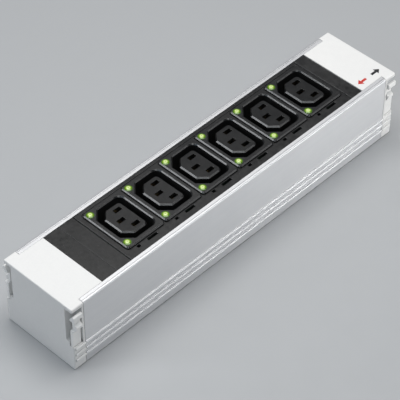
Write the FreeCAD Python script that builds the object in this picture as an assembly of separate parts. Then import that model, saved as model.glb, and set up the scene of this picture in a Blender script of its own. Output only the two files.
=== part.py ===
import FreeCAD
import Part
import math
import os

# Rack socket module: an aluminium channel with six appliance outlets, status lights, a recessed
# supply plug in its floor and sprung latches in its end caps. Millimetres. X runs along the module
# from the feed end to the tail end, Y across it and Z up. The origin is at the centre of the base.

# Overall size, with the height measured to the lips of the channel
LENGTH = 257.0
WIDTH = 52.2
HEIGHT = 46.8

# Channel
CAP_DEPTH = 8.5
WALL = 2.0
FLOOR = 2.0
LIP_REACH = 3.45
LIP_THICK = 1.6
LIP_LINE_IN = 1.5
LIP_LINE_DEEP = 0.25
GROOVE = 1.9
SHELF_THICK = 1.2
SHELF_REACH = 1.9
TOP_ROUND = 1.0
BASE_ROUND = 0.8
INNER_ROUND = 1.5
BEAD_COUNT = 3
BEAD_LOWEST = 6.8
BEAD_PITCH = 4.35
BEAD_WIDTH = 2.0
BEAD_RISE = 0.8

# Fits
SLIDE_FIT = 0.1
PRESS_FIT = 0.05
SEAM = 0.15
RUN_FIT = 0.08
CAP_SHADOW = 0.3

# Fascia, from the tail end: cap tongue, tail blank, outlet carrier, feed blank, cap tongue
TONGUE = 16.65
TAIL_BLANK = 8.8
FASCIA_DROP = 0.3
TONGUE_SIDE = 1.0
PLATE_BEVEL = 0.3
COVER_LINE_DEEP = 0.2
COVER_LINE_FROM_END = 11.3

# Outlets: six along the carrier, placed by the line through the live and neutral slots
OUTLET_COUNT = 6
OUTLET_PITCH = 28.63
OUTLET_OFFSET = 1.9
CARRIER_FEED_MARGIN = 3.7
CARRIER_TAIL_MARGIN = 1.35
BEZEL_FEED = 16.3
BEZEL_TAIL = 11.6
BEZEL_HALF = 18.0
BEZEL_RISE = 1.1
BEZEL_CORNER = 1.7
BEZEL_BEVEL = 0.7
SEAT_DEEP = 0.5
SEAT_MARGIN = 0.6
WELL_FEED = 13.2
WELL_TAIL = 8.6
WELL_HALF = 14.6
WELL_CHAMFER = 5.7
WELL_RADIUS = 4.0
WELL_DEPTH = 17.4
SHELL = 1.2
WELL_FLOOR = 1.6
CORE_FEED = 10.1
CORE_TAIL = 5.3
CORE_HALF = 11.4
CORE_CHAMFER = 5.0
CORE_RADIUS = 2.6
CORE_DROP = 0.4
CORE_BEVEL = 0.8
CORE_FLANGE = 1.6
BARB_LENGTH = 5.0
BARB_RISE = 0.7
BARB_HEIGHT = 2.6

# Contact slots in a core and the spring leaves below them
POLE_SPREAD = 7.0
EARTH_SHIFT = 4.0
SLOT_LENGTH = 5.0
SLOT_WIDTH = 2.8
SLOT_SKIN = 2.0
CHAMBER_LENGTH = 5.6
CHAMBER_WIDTH = 3.6
LEAF_WIDTH = 4.2
LEAF_THICK = 0.4
LEAF_FOOT = 1.1
LEAF_PINCH = 0.5
LEAF_MOUTH = 1.0
LEAF_TOP_GAP = 1.6
LEAF_FLARE = 2.4
LEAF_BEND = 6.5

# Contact strips, their tray and its screws
STRIP_WIDTH = 5.0
STRIP_THICK = 1.0
STRIP_OVERRUN = 3.6
TRAY_THICK = 1.8
TRAY_RIB = 1.2
TRAY_RIB_FIT = 0.4
TRAY_SCREW_SHIFT = 2.6
TRAY_SCREW_R = 1.1
TRAY_SCREW_GRIP = 9.0
TRAY_SCREW_HEAD_R = 2.2
TRAY_SCREW_HEAD = 1.6
STRIP_SCREW_CLEAR = 0.6

# Retention slots beside each outlet
CLIP_OUT = 19.8
CLIP_FEED = 3.7
CLIP_TAIL = 3.4
CLIP_WIDTH = 1.8
CLIP_EYE_FEED = 10.2
CLIP_EYE_LENGTH = 2.3

# Status lights
LIGHT_FEED = 13.35
LIGHT_HALF = 14.2
LENS_R = 1.5
LENS_HEAD_RIM = 0.65
LENS_DOME = 0.5
LENS_EDGE = 0.2
COLLAR_RIM = 0.35
COLLAR_THICK = 0.8
LAMP_GAP = 0.2
LAMP_LENGTH = 2.0
LAMP_WIDTH = 1.25
LAMP_HEIGHT = 1.0
BOARD_DROP = 2.3
BOARD_THICK = 1.6
BOARD_SIDE_GAP = 1.5
BOARD_END_GAP = 0.8
BOARD_WELL_GAP = 0.5
BOSS_R = 1.8
BOSS_GAP = 0.2
BOSS_BAR = 11.45
BOARD_SCREW_R = 0.8
BOARD_SCREW_HEAD_R = 1.7
BOARD_SCREW_HEAD = 1.2
BOARD_SCREW_GRIP = 3.6
PIN_R = 0.45
PIN_FROM_END = 2.3

# Recessed supply plug under the feed blank
PLUG_FROM_FOOT = 3.05
POCKET_LENGTH = 15.0
POCKET_WIDTH = 24.0
POCKET_DEPTH = 14.0
SHROUD_WALL = 1.8
SHROUD_TOP = 2.5
SHROUD_FLANGE = 2.5
SHROUD_FLANGE_LENGTH = 22.0
SHROUD_FLANGE_WIDTH = 40.0
SHROUD_RECESS = 0.2
SHROUD_BOSS_R = 2.8
SHROUD_BOSS_OUT = 17.0
SHROUD_BOSS_TOP = 10.0
SHROUD_CORNER = 1.0
BLADE_SPREAD = 7.0
BLADE_THICK = 1.0
BLADE_RECESS = 4.0
BLADE_POINT = 1.5

# Countersunk screws in the floor
SCREW_R = 1.5
HEAD_R = 2.8
HEAD_DEEP = 1.3
HEAD_RECESS = 0.1
DRIVE_LENGTH = 3.0
DRIVE_WIDTH = 0.8
DRIVE_DEEP = 0.8
CAP_SCREW_GRIP = 7.0
SHROUD_SCREW_GRIP = 6.0
BOND_SCREW_GRIP = 4.6
NUT_FLATS = 5.5
NUT_HEIGHT = 2.4
FOOT_LENGTH = 8.0
FOOT_FROM_TRAY = 3.4

# End caps
CAP_ROUND = 0.7
CAP_SHOULDER_IN = 1.2
CAP_FACE = 2.4
CAP_TOP = 2.3
CAP_SIDE = 2.0
CAP_RIB = 1.4
CAP_RIB_SPREAD = 6.2
CAP_FOOT = 3.0
CAP_FOOT_LENGTH = 14.0
CAP_FOOT_SIDE_GAP = 4.1
CAP_BOSS_R = 3.4
CAP_BOSS_HEIGHT = 7.0
CAP_SCREW_IN = 7.5
CAP_SCREW_SPREAD = 14.0
CAP_BEAD_SHORT = 1.2

# Latches: heights are drops below the lips
LATCH_ROOM = 3.3
LATCH_SLOT_DROP = 25.0
LATCH_RELIEF = 0.75
LATCH_BLOCK_DROP = 29.5
LATCH_ROOT_DROP = 30.6
LATCH_ROOT_R = 1.4
LATCH_ROOT_IN = 2.1
LATCH_ARM_IN = 0.8
LATCH_ARM_THICK = 1.4
LATCH_WIDTH = 5.9
LATCH_END_GAP = 0.3
LATCH_SLIT = 0.8
LATCH_SIDE_GAP = 0.2
LATCH_NECK_WALL = 1.3
LATCH_STEM = 4.3
NOTCH_BASE_DROP = 17.0
TAB_TOP_DROP = 5.4
TAB_BASE_DROP = 8.6
TAB_BACK_DROP = 9.4
TAB_OUT = 1.2
TAB_ROUND = 0.7
TAB_LAND = 1.5
TAB_SLOPE_DROP = 8.2
CATCH_TOP_DROP = 13.0
CATCH_TIP_DROP = 15.0
CATCH_BASE_DROP = 18.6
CATCH_OUT = 1.2
CATCH_TIP = 0.8

# Sizes that follow from the ones above
CHANNEL_HALF = LENGTH / 2 - CAP_DEPTH
SIDE = WIDTH / 2
INNER_SIDE = SIDE - WALL
LIP_EDGE = SIDE - LIP_REACH
SHELF_TOP = HEIGHT - LIP_THICK - GROOVE
FASCIA_TOP = HEIGHT - FASCIA_DROP
FASCIA_TAIL = CHANNEL_HALF - TONGUE
CARRIER_TAIL = FASCIA_TAIL - TAIL_BLANK
LAST_OUTLET = CARRIER_TAIL - CARRIER_TAIL_MARGIN - BEZEL_TAIL
FIRST_OUTLET = LAST_OUTLET - (OUTLET_COUNT - 1) * OUTLET_PITCH
OUTLETS = [FIRST_OUTLET + i * OUTLET_PITCH for i in range(OUTLET_COUNT)]
CARRIER_FEED = FIRST_OUTLET - BEZEL_FEED - CARRIER_FEED_MARGIN
BEZEL_TOP = FASCIA_TOP + BEZEL_RISE
BEZEL_SEAT = FASCIA_TOP - SEAT_DEEP
WELL_BOTTOM = BEZEL_TOP - WELL_DEPTH
SHELL_BOTTOM = WELL_BOTTOM - WELL_FLOOR
CORE_TOP = BEZEL_TOP - CORE_DROP
CORE_BOTTOM = SHELL_BOTTOM - CORE_FLANGE
STRIP_BOTTOM = CORE_BOTTOM - STRIP_THICK
TRAY_BOTTOM = STRIP_BOTTOM - TRAY_THICK
BOARD_TOP = SHELF_TOP - BOARD_DROP
BOARD_BOTTOM = BOARD_TOP - BOARD_THICK
LAMP_TOP = BOARD_TOP + LAMP_HEIGHT
COLLAR_R = LENS_R + COLLAR_RIM
LENS_HEAD_R = LENS_R + LENS_HEAD_RIM
CAP_FOOT_HALF = INNER_SIDE - CAP_FOOT_SIDE_GAP
BOSS_Y = INNER_SIDE - SHELF_REACH - BOSS_GAP - BOSS_R
TRAY_FEED = FIRST_OUTLET - CORE_FEED - STRIP_OVERRUN
TRAY_TAIL = LAST_OUTLET + CORE_TAIL + STRIP_OVERRUN
PLUG_X = CAP_FOOT_LENGTH + PLUG_FROM_FOOT + SHROUD_FLANGE_LENGTH / 2 - CHANNEL_HALF
FOOT_TAIL = TRAY_TAIL + FOOT_FROM_TRAY
ROOT_Y = SIDE - LATCH_ROOT_IN
ROOT_Z = HEIGHT - LATCH_ROOT_DROP
ARM_OUT = SIDE - LATCH_ARM_IN
ARM_BACK = ARM_OUT - LATCH_ARM_THICK
LATCH_POCKET = ARM_BACK - LATCH_ROOM
CAP_INNER = CHANNEL_HALF + CAP_SHADOW
LATCH_X1 = LENGTH / 2 - LATCH_END_GAP
LATCH_X0 = LATCH_X1 - LATCH_WIDTH
POCKET_X0 = LATCH_X0 - LATCH_SLIT
NECK_X1 = LENGTH / 2 - LATCH_NECK_WALL
POLES = {
    "live": (POLE_SPREAD, 0.0),
    "neutral": (-POLE_SPREAD, 0.0),
    "earth": (0.0, -EARTH_SHIFT),
}


def vec(x, y, z):
    return FreeCAD.Vector(x, y, z)


def box(x0, x1, y0, y1, z0, z1):
    return Part.makeBox(x1 - x0, y1 - y0, z1 - z0, vec(x0, y0, z0))


def rod(x, y, z0, z1, radius):
    return Part.makeCylinder(radius, z1 - z0, vec(x, y, z0))


def lying_rod(x0, x1, y, z, radius):
    return Part.makeCylinder(radius, x1 - x0, vec(x0, y, z), vec(1, 0, 0))


def outline(place, start, *moves):
    """Closed wire through 2-D points; a move of two points is an arc by way of the first."""
    edges = []
    here = place(*start)
    for move in moves + (start,):
        if isinstance(move[0], tuple):
            there = place(*move[1])
            edges.append(Part.Arc(here, place(*move[0]), there).toShape())
        else:
            there = place(*move)
            if there.distanceToPoint(here) > 1e-6:
                edges.append(Part.LineSegment(here, there).toShape())
        here = there
    return Part.Wire(edges)


def plan(z):
    return lambda x, y: vec(x, y, z)


def section(x):
    return lambda y, z: vec(x, y, z)


def elevation(y):
    return lambda x, z: vec(x, y, z)


def raised(wire, height):
    return Part.Face(wire).extrude(vec(0, 0, height))


def along(wire, length):
    return Part.Face(wire).extrude(vec(length, 0, 0))


def corner_mid(radius):
    """How far the middle of a quarter arc lies inside the corner that it rounds."""
    return radius * (1 - math.sqrt(0.5))


def rounded_plate(x0, x1, y0, y1, z0, z1, radius):
    m = corner_mid(radius)
    wire = outline(
        plan(z0),
        (x0 + radius, y0),
        (x1 - radius, y0),
        ((x1 - m, y0 + m), (x1, y0 + radius)),
        (x1, y1 - radius),
        ((x1 - m, y1 - m), (x1 - radius, y1)),
        (x0 + radius, y1),
        ((x0 + m, y1 - m), (x0, y1 - radius)),
        (x0, y0 + radius),
        ((x0 + m, y0 + m), (x0 + radius, y0)),
    )
    return raised(wire, z1 - z0)


class DShape:
    """Outlet outline: two bevelled corners towards the feed end, two round ones towards the tail."""

    def __init__(self, feed, tail, half, chamfer, radius):
        self.feed = feed
        self.tail = tail
        self.half = half
        self.chamfer = chamfer
        self.radius = radius

    def grown(self, gap):
        chamfer = self.chamfer + gap * (2 - math.sqrt(2))
        return DShape(self.feed + gap, self.tail + gap, self.half + gap, chamfer, self.radius + gap)

    def prism(self, x, z0, z1):
        y = OUTLET_OFFSET
        x0, x1 = x - self.feed, x + self.tail
        y0, y1 = y - self.half, y + self.half
        c, r = self.chamfer, self.radius
        m = corner_mid(r)
        wire = outline(
            plan(z0),
            (x0, y0 + c),
            (x0 + c, y0),
            (x1 - r, y0),
            ((x1 - m, y0 + m), (x1, y0 + r)),
            (x1, y1 - r),
            ((x1 - m, y1 - m), (x1 - r, y1)),
            (x0 + c, y1),
            (x0, y1 - c),
        )
        return raised(wire, z1 - z0)


WELL = DShape(WELL_FEED, WELL_TAIL, WELL_HALF, WELL_CHAMFER, WELL_RADIUS)
CORE = DShape(CORE_FEED, CORE_TAIL, CORE_HALF, CORE_CHAMFER, CORE_RADIUS)


def fuse_all(shapes):
    whole = shapes[0].multiFuse(shapes[1:]) if len(shapes) > 1 else shapes[0]
    return whole.removeSplitter()


def rounded_at(shape, radius, chosen):
    return shape.makeFillet(radius, [edge for edge in shape.Edges if chosen(edge.BoundBox)])


def top_bevel(shape, size, top):
    return shape.makeChamfer(size, [edge for edge in shape.Edges if edge.BoundBox.ZMin > top - 1e-4])


def both_sides(shape):
    """The shape and its mirror image across the module's middle plane."""
    return [shape, shape.mirror(vec(0, 0, 0), vec(0, 1, 0))]


def lights(x):
    return [(x - LIGHT_FEED, OUTLET_OFFSET + side * LIGHT_HALF) for side in (-1, 1)]


def bead_heights():
    return [BEAD_LOWEST + i * BEAD_PITCH for i in range(BEAD_COUNT)]


def countersink(x, y, through):
    """Cut for a countersunk screw driven up into the floor, with its fit all round."""
    tip = HEAD_R - HEAD_DEEP
    cone = Part.makeCone(HEAD_R + SLIDE_FIT, tip + SLIDE_FIT, HEAD_DEEP, vec(x, y, HEAD_RECESS))
    mouth = rod(x, y, -HEAD_RECESS, HEAD_RECESS, HEAD_R + SLIDE_FIT)
    return fuse_all([cone, mouth, rod(x, y, 0, through, SCREW_R + SLIDE_FIT)])


def countersunk_screw(x, y, grip):
    tip = HEAD_R - HEAD_DEEP
    cone = Part.makeCone(HEAD_R, tip, HEAD_DEEP, vec(x, y, HEAD_RECESS))
    shank = rod(x, y, HEAD_RECESS, FLOOR + grip, SCREW_R)
    arm, half = DRIVE_LENGTH / 2, DRIVE_WIDTH / 2
    deep = HEAD_RECESS + DRIVE_DEEP
    cross = box(x - arm, x + arm, y - half, y + half, 0, deep)
    cross = cross.fuse(box(x - half, x + half, y - arm, y + arm, 0, deep))
    return fuse_all([cone, shank]).cut(cross)


def pan_screw(x, y, seat, grip, radius, head_radius, head):
    """Pan-head screw driven upwards, with its head under the seat."""
    return fuse_all([rod(x, y, seat - head, seat, head_radius), rod(x, y, seat, seat + grip, radius)])


def cap_screw_places():
    x = CHANNEL_HALF - CAP_SCREW_IN
    return [(sx * x, sy * CAP_SCREW_SPREAD) for sx in (-1, 1) for sy in (-1, 1)]


def shroud_screw_places():
    return [(PLUG_X, side * SHROUD_BOSS_OUT) for side in (-1, 1)]


def bond_screw_place():
    return FOOT_TAIL - FOOT_LENGTH / 2 - STRIP_THICK / 2, OUTLET_OFFSET


def board_screw_places():
    bars = [x + BOSS_BAR for x in OUTLETS[::2]]
    return [(x, side * BOSS_Y) for x in bars for side in (-1, 1)]


def housing_profile():
    """Extruded channel: floor, beaded walls, lips and the grooves that the fascia slides in."""
    half_bead = BEAD_WIDTH / 2
    moves = [(SIDE - BASE_ROUND, 0)]
    m = corner_mid(BASE_ROUND)
    moves.append(((SIDE - m, m), (SIDE, BASE_ROUND)))
    for z in bead_heights():
        moves.append((SIDE, z - half_bead))
        moves.append(((SIDE + BEAD_RISE, z), (SIDE, z + half_bead)))
    moves.append((SIDE, HEIGHT - TOP_ROUND))
    m = corner_mid(TOP_ROUND)
    moves.append(((SIDE - m, HEIGHT - m), (SIDE - TOP_ROUND, HEIGHT)))
    line = SIDE - LIP_LINE_IN
    moves += [(line + LIP_LINE_DEEP, HEIGHT), (line, HEIGHT - LIP_LINE_DEEP)]
    moves += [(line - LIP_LINE_DEEP, HEIGHT), (LIP_EDGE, HEIGHT), (LIP_EDGE, HEIGHT - LIP_THICK)]
    moves += [(INNER_SIDE, HEIGHT - LIP_THICK), (INNER_SIDE, SHELF_TOP)]
    moves += [(INNER_SIDE - SHELF_REACH, SHELF_TOP), (INNER_SIDE - SHELF_REACH, SHELF_TOP - SHELF_THICK)]
    moves += [(INNER_SIDE, SHELF_TOP - SHELF_THICK), (INNER_SIDE, FLOOR + INNER_ROUND)]
    m = corner_mid(INNER_ROUND)
    moves.append(((INNER_SIDE - m, FLOOR + m), (INNER_SIDE - INNER_ROUND, FLOOR)))
    moves.append((0, FLOOR))
    half = along(outline(section(-CHANNEL_HALF), (0, 0), *moves), 2 * CHANNEL_HALF)
    channel = fuse_all(both_sides(half))
    cuts = [countersink(x, y, FLOOR) for x, y in cap_screw_places() + shroud_screw_places()]
    cuts.append(countersink(*bond_screw_place(), FLOOR))
    length = POCKET_LENGTH / 2 + SHROUD_WALL + SLIDE_FIT
    width = POCKET_WIDTH / 2 + SHROUD_WALL + SLIDE_FIT
    window = (PLUG_X - length, PLUG_X + length, -width, width)
    cuts.append(rounded_plate(*window, 0, FLOOR, SHROUD_CORNER))
    return channel.cut(cuts)


def fascia_plate(x0, x1, top):
    """Cover plate whose side tongues run in the channel's grooves and rest on its shelves."""
    edge = LIP_EDGE - SLIDE_FIT
    tongue = edge + TONGUE_SIDE
    tongue_top = HEIGHT - LIP_THICK - SLIDE_FIT
    wire = outline(
        section(x0),
        (-tongue, SHELF_TOP),
        (tongue, SHELF_TOP),
        (tongue, tongue_top),
        (edge, tongue_top),
        (edge, top),
        (-edge, top),
        (-edge, tongue_top),
        (-tongue, tongue_top),
    )
    return along(wire, x1 - x0)


def bevelled_cover(x0, x1):
    """Cover plate with a bevel on both of its cross seams."""
    plate = fascia_plate(x0, x1, FASCIA_TOP)
    seams = []
    for edge in plate.Edges:
        span = edge.BoundBox
        if span.ZMin > FASCIA_TOP - 1e-4 and span.XLength < 1e-4:
            seams.append(edge)
    return plate.makeChamfer(PLATE_BEVEL, seams)


def bezel_seat():
    """Shallow tray in the carrier that takes the row of bezels, with a shadow gap round it."""
    margin = SEAT_MARGIN
    x0, x1 = FIRST_OUTLET - BEZEL_FEED - margin, LAST_OUTLET + BEZEL_TAIL + margin
    y0, y1 = OUTLET_OFFSET - BEZEL_HALF - margin, OUTLET_OFFSET + BEZEL_HALF + margin
    return rounded_plate(x0, x1, y0, y1, BEZEL_SEAT, FASCIA_TOP, BEZEL_CORNER + margin)


def outlet_carrier():
    plate = bevelled_cover(CARRIER_FEED + SEAM, CARRIER_TAIL - SEAM)
    bosses = [rod(x, y, BOARD_TOP, SHELF_TOP, BOSS_R) for x, y in board_screw_places()]
    hole = WELL.grown(SHELL + SLIDE_FIT)
    cuts = [bezel_seat()]
    for x in OUTLETS:
        cuts.append(hole.prism(x, SHELF_TOP, FASCIA_TOP))
        cuts += [rod(lx, ly, SHELF_TOP, FASCIA_TOP, LENS_R + PRESS_FIT) for lx, ly in lights(x)]
        y0 = OUTLET_OFFSET - CLIP_OUT - CLIP_WIDTH / 2
        y1 = y0 + CLIP_WIDTH
        cuts.append(box(x - CLIP_FEED, x + CLIP_TAIL, y0, y1, SHELF_TOP, FASCIA_TOP))
        eye = x - CLIP_EYE_FEED
        half_eye = CLIP_EYE_LENGTH / 2
        cuts.append(box(eye - half_eye, eye + half_eye, y0, y1, SHELF_TOP, FASCIA_TOP))
    depth = BOARD_BOTTOM + BOARD_THICK + BOARD_SCREW_GRIP
    pilot = BOARD_SCREW_R + PRESS_FIT
    cuts += [rod(x, y, BOARD_TOP, depth, pilot) for x, y in board_screw_places()]
    return fuse_all([plate] + bosses).cut(cuts)


def blank_cover_feed():
    """Wide blanking cover over the supply plug, with a moulded line across it."""
    x0 = -FASCIA_TAIL + SEAM
    cover = bevelled_cover(x0, CARRIER_FEED - SEAM)
    x = x0 + COVER_LINE_FROM_END
    deep = COVER_LINE_DEEP
    wire = outline(
        elevation(-SIDE),
        (x - deep, FASCIA_TOP),
        (x, FASCIA_TOP - deep),
        (x + deep, FASCIA_TOP),
    )
    return cover.cut(Part.Face(wire).extrude(vec(0, WIDTH, 0)))


def blank_cover_tail():
    return bevelled_cover(CARRIER_TAIL + SEAM, FASCIA_TAIL - SEAM)


def barb(x, side):
    """Snap wedge on a well's wall, its flat top caught under the carrier."""
    root = WELL_HALF + SHELL
    top = SHELF_TOP - PRESS_FIT
    y = OUTLET_OFFSET
    wire = outline(
        section(x - BARB_LENGTH / 2),
        (y + side * (root - SHELL / 2), top),
        (y + side * (root + BARB_RISE), top),
        (y + side * root, top - BARB_HEIGHT),
        (y + side * (root - SHELL / 2), top - BARB_HEIGHT),
    )
    return along(wire, BARB_LENGTH)


def outlet_housing(x):
    """Bezel with its bevelled rims, and the well below it."""
    y0, y1 = OUTLET_OFFSET - BEZEL_HALF, OUTLET_OFFSET + BEZEL_HALF
    span = (x - BEZEL_FEED, x + BEZEL_TAIL, y0, y1, BEZEL_SEAT, BEZEL_TOP)
    bezel = rounded_plate(*span, BEZEL_CORNER).cut(WELL.prism(x, BEZEL_SEAT, BEZEL_TOP))
    bezel = top_bevel(bezel, BEZEL_BEVEL, BEZEL_TOP)
    shell = WELL.grown(SHELL).prism(x, SHELL_BOTTOM, BEZEL_SEAT)
    shell = shell.cut(WELL.prism(x, WELL_BOTTOM, BEZEL_SEAT))
    shell = shell.cut(CORE.grown(SLIDE_FIT).prism(x, SHELL_BOTTOM, WELL_BOTTOM))
    housing = fuse_all([bezel, shell, barb(x, -1), barb(x, 1)])
    holes = [rod(lx, ly, BEZEL_SEAT, BEZEL_TOP, LENS_R + PRESS_FIT) for lx, ly in lights(x)]
    return housing.cut(holes)


def outlet_core(x):
    """Island in the well: three contact slots above open chambers, and a flange under the floor."""
    island = top_bevel(CORE.prism(x, SHELL_BOTTOM, CORE_TOP), CORE_BEVEL, CORE_TOP)
    flange = CORE.grown(CORE_FLANGE).prism(x, CORE_BOTTOM, SHELL_BOTTOM)
    cuts = []
    for across, shift in POLES.values():
        cx, cy = x + shift, OUTLET_OFFSET + across
        half_length, half_width = SLOT_LENGTH / 2, SLOT_WIDTH / 2
        slot = (cx - half_length, cx + half_length, cy - half_width, cy + half_width)
        cuts.append(box(*slot, CORE_TOP - SLOT_SKIN, CORE_TOP))
        half_length, half_width = CHAMBER_LENGTH / 2, CHAMBER_WIDTH / 2
        chamber = (cx - half_length, cx + half_length, cy - half_width, cy + half_width)
        cuts.append(box(*chamber, CORE_BOTTOM, CORE_TOP - SLOT_SKIN))
    reach = TRAY_BOTTOM + TRAY_SCREW_GRIP
    screw_x = x + TRAY_SCREW_SHIFT
    cuts.append(rod(screw_x, OUTLET_OFFSET, CORE_BOTTOM, reach, TRAY_SCREW_R + PRESS_FIT))
    return fuse_all([island, flange]).cut(cuts)


def status_lenses(x):
    """The two lenses of an outlet: domed heads on the bezel, held by a collar under the carrier."""
    bottom = LAMP_TOP + LAMP_GAP
    edge = BEZEL_TOP + LENS_EDGE
    lenses = []
    for lx, ly in lights(x):
        radius = (LENS_HEAD_R**2 + LENS_DOME**2) / (2 * LENS_DOME)
        slope = math.asin(LENS_HEAD_R / radius) / 2
        middle = (radius * math.sin(slope), edge + LENS_DOME - radius * (1 - math.cos(slope)))
        wire = outline(
            lambda r, z, cx=lx, cy=ly: vec(cx + r, cy, z),
            (0, bottom),
            (LENS_R, bottom),
            (LENS_R, SHELF_TOP - COLLAR_THICK),
            (COLLAR_R, SHELF_TOP - COLLAR_THICK),
            (COLLAR_R, SHELF_TOP),
            (LENS_R, SHELF_TOP),
            (LENS_R, BEZEL_TOP),
            (LENS_HEAD_R, BEZEL_TOP),
            (LENS_HEAD_R, edge),
            (middle, (0, edge + LENS_DOME)),
        )
        lenses.append(Part.Face(wire).revolve(vec(lx, ly, 0), vec(0, 0, 1), 360))
    return Part.makeCompound(lenses)


def spring_leaves(x, y):
    """Pair of leaves that pinch a plug's pin, standing on a strip."""
    top = CORE_TOP - SLOT_SKIN - LEAF_TOP_GAP
    pinch = top - LEAF_FLARE
    bend = pinch - LEAF_BEND
    inner = [(LEAF_FOOT, STRIP_BOTTOM), (LEAF_FOOT, bend), (LEAF_PINCH, pinch), (LEAF_MOUTH, top)]
    leaves = []
    for side in (-1, 1):
        near = [(y + side * d, z) for d, z in inner]
        back = [(y + side * (d + LEAF_THICK), z) for d, z in reversed(inner)]
        points = near + back
        leaves.append(along(outline(section(x - LEAF_WIDTH / 2), *points), LEAF_WIDTH))
    return leaves


def contact_strip(pole, blade_y, tail):
    """Brass strip with spring leaves at every outlet and a tail that steps across to its blade."""
    across, shift = POLES[pole]
    y = OUTLET_OFFSET + across
    half = STRIP_WIDTH / 2
    feed = PLUG_X - BLADE_THICK / 2
    step_in = PLUG_X + STRIP_WIDTH
    step_out = TRAY_FEED - PIN_FROM_END - STRIP_WIDTH
    wire = outline(
        plan(STRIP_BOTTOM),
        (feed, blade_y - half),
        (step_in, blade_y - half),
        (step_out, y - half),
        (tail, y - half),
        (tail, y + half),
        (step_out, y + half),
        (step_in, blade_y + half),
        (feed, blade_y + half),
    )
    pieces = [raised(wire, STRIP_THICK)]
    for x in OUTLETS:
        pieces += spring_leaves(x + shift, y)
    return fuse_all(pieces)


def earth_strip():
    """Middle strip: cleared round the tray's screws, with a foot bonded to the channel's floor."""
    strip = contact_strip("earth", 0, FOOT_TAIL)
    y0, y1 = OUTLET_OFFSET - STRIP_WIDTH / 2, OUTLET_OFFSET + STRIP_WIDTH / 2
    leg = box(FOOT_TAIL - STRIP_THICK, FOOT_TAIL, y0, y1, FLOOR, CORE_BOTTOM)
    foot = box(FOOT_TAIL - FOOT_LENGTH, FOOT_TAIL, y0, y1, FLOOR, FLOOR + STRIP_THICK)
    strip = fuse_all([strip, leg, foot])
    clear = TRAY_SCREW_R + STRIP_SCREW_CLEAR
    cuts = [rod(x + TRAY_SCREW_SHIFT, OUTLET_OFFSET, STRIP_BOTTOM, CORE_BOTTOM, clear) for x in OUTLETS]
    cuts.append(rod(*bond_screw_place(), FLOOR, FLOOR + STRIP_THICK, SCREW_R + SLIDE_FIT))
    return strip.cut(cuts)


def contact_tray():
    """Insulating tray: a plate under the strips with ribs between them, up to the cores."""
    inner = STRIP_WIDTH / 2 + TRAY_RIB_FIT
    outer = POLE_SPREAD + inner
    half = outer + TRAY_RIB
    y = OUTLET_OFFSET
    pieces = [box(TRAY_FEED, TRAY_TAIL, y - half, y + half, TRAY_BOTTOM, STRIP_BOTTOM)]
    for start in (-outer - TRAY_RIB, -inner - TRAY_RIB, inner, outer):
        ends = (TRAY_FEED, TRAY_TAIL, y + start, y + start + TRAY_RIB)
        pieces.append(box(*ends, STRIP_BOTTOM, CORE_BOTTOM))
    radius = TRAY_SCREW_R + PRESS_FIT
    cuts = [rod(x + TRAY_SCREW_SHIFT, y, TRAY_BOTTOM, STRIP_BOTTOM, radius) for x in OUTLETS]
    return fuse_all(pieces).cut(cuts)


def tray_screws():
    head = (TRAY_SCREW_R, TRAY_SCREW_HEAD_R, TRAY_SCREW_HEAD)
    grip = TRAY_SCREW_GRIP - PRESS_FIT
    places = [(x + TRAY_SCREW_SHIFT, OUTLET_OFFSET) for x in OUTLETS]
    return Part.makeCompound([pan_screw(x, y, TRAY_BOTTOM, grip, *head) for x, y in places])


def feed_pin_places():
    x = TRAY_FEED - PIN_FROM_END
    return [(x, OUTLET_OFFSET + side * POLE_SPREAD) for side in (-1, 1)]


def indicator_board():
    """Lamp board under the carrier, cut out round every well."""
    x0, x1 = CARRIER_FEED + BOARD_END_GAP, CARRIER_TAIL - BOARD_END_GAP
    half = INNER_SIDE - BOARD_SIDE_GAP
    board = box(x0, x1, -half, half, BOARD_BOTTOM, BOARD_TOP)
    hole = WELL.grown(SHELL + BOARD_WELL_GAP)
    cuts = [hole.prism(x, BOARD_BOTTOM, BOARD_TOP) for x in OUTLETS]
    radius = BOARD_SCREW_R + SLIDE_FIT
    cuts += [rod(x, y, BOARD_BOTTOM, BOARD_TOP, radius) for x, y in board_screw_places()]
    return board.cut(cuts)


def indicator_lamps():
    half_length, half_width = LAMP_LENGTH / 2, LAMP_WIDTH / 2
    lamps = []
    for x in OUTLETS:
        for lx, ly in lights(x):
            span = (lx - half_length, lx + half_length, ly - half_width, ly + half_width)
            lamps.append(box(*span, BOARD_TOP, LAMP_TOP))
    return Part.makeCompound(lamps)


def board_screws():
    head = (BOARD_SCREW_R, BOARD_SCREW_HEAD_R, BOARD_SCREW_HEAD)
    grip = BOARD_THICK + BOARD_SCREW_GRIP - PRESS_FIT
    return Part.makeCompound([pan_screw(x, y, BOARD_BOTTOM, grip, *head) for x, y in board_screw_places()])


def board_feed_pins():
    return Part.makeCompound([rod(x, y, CORE_BOTTOM, BOARD_BOTTOM, PIN_R) for x, y in feed_pin_places()])


def blade_centres():
    return [-BLADE_SPREAD, 0, BLADE_SPREAD]


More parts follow.
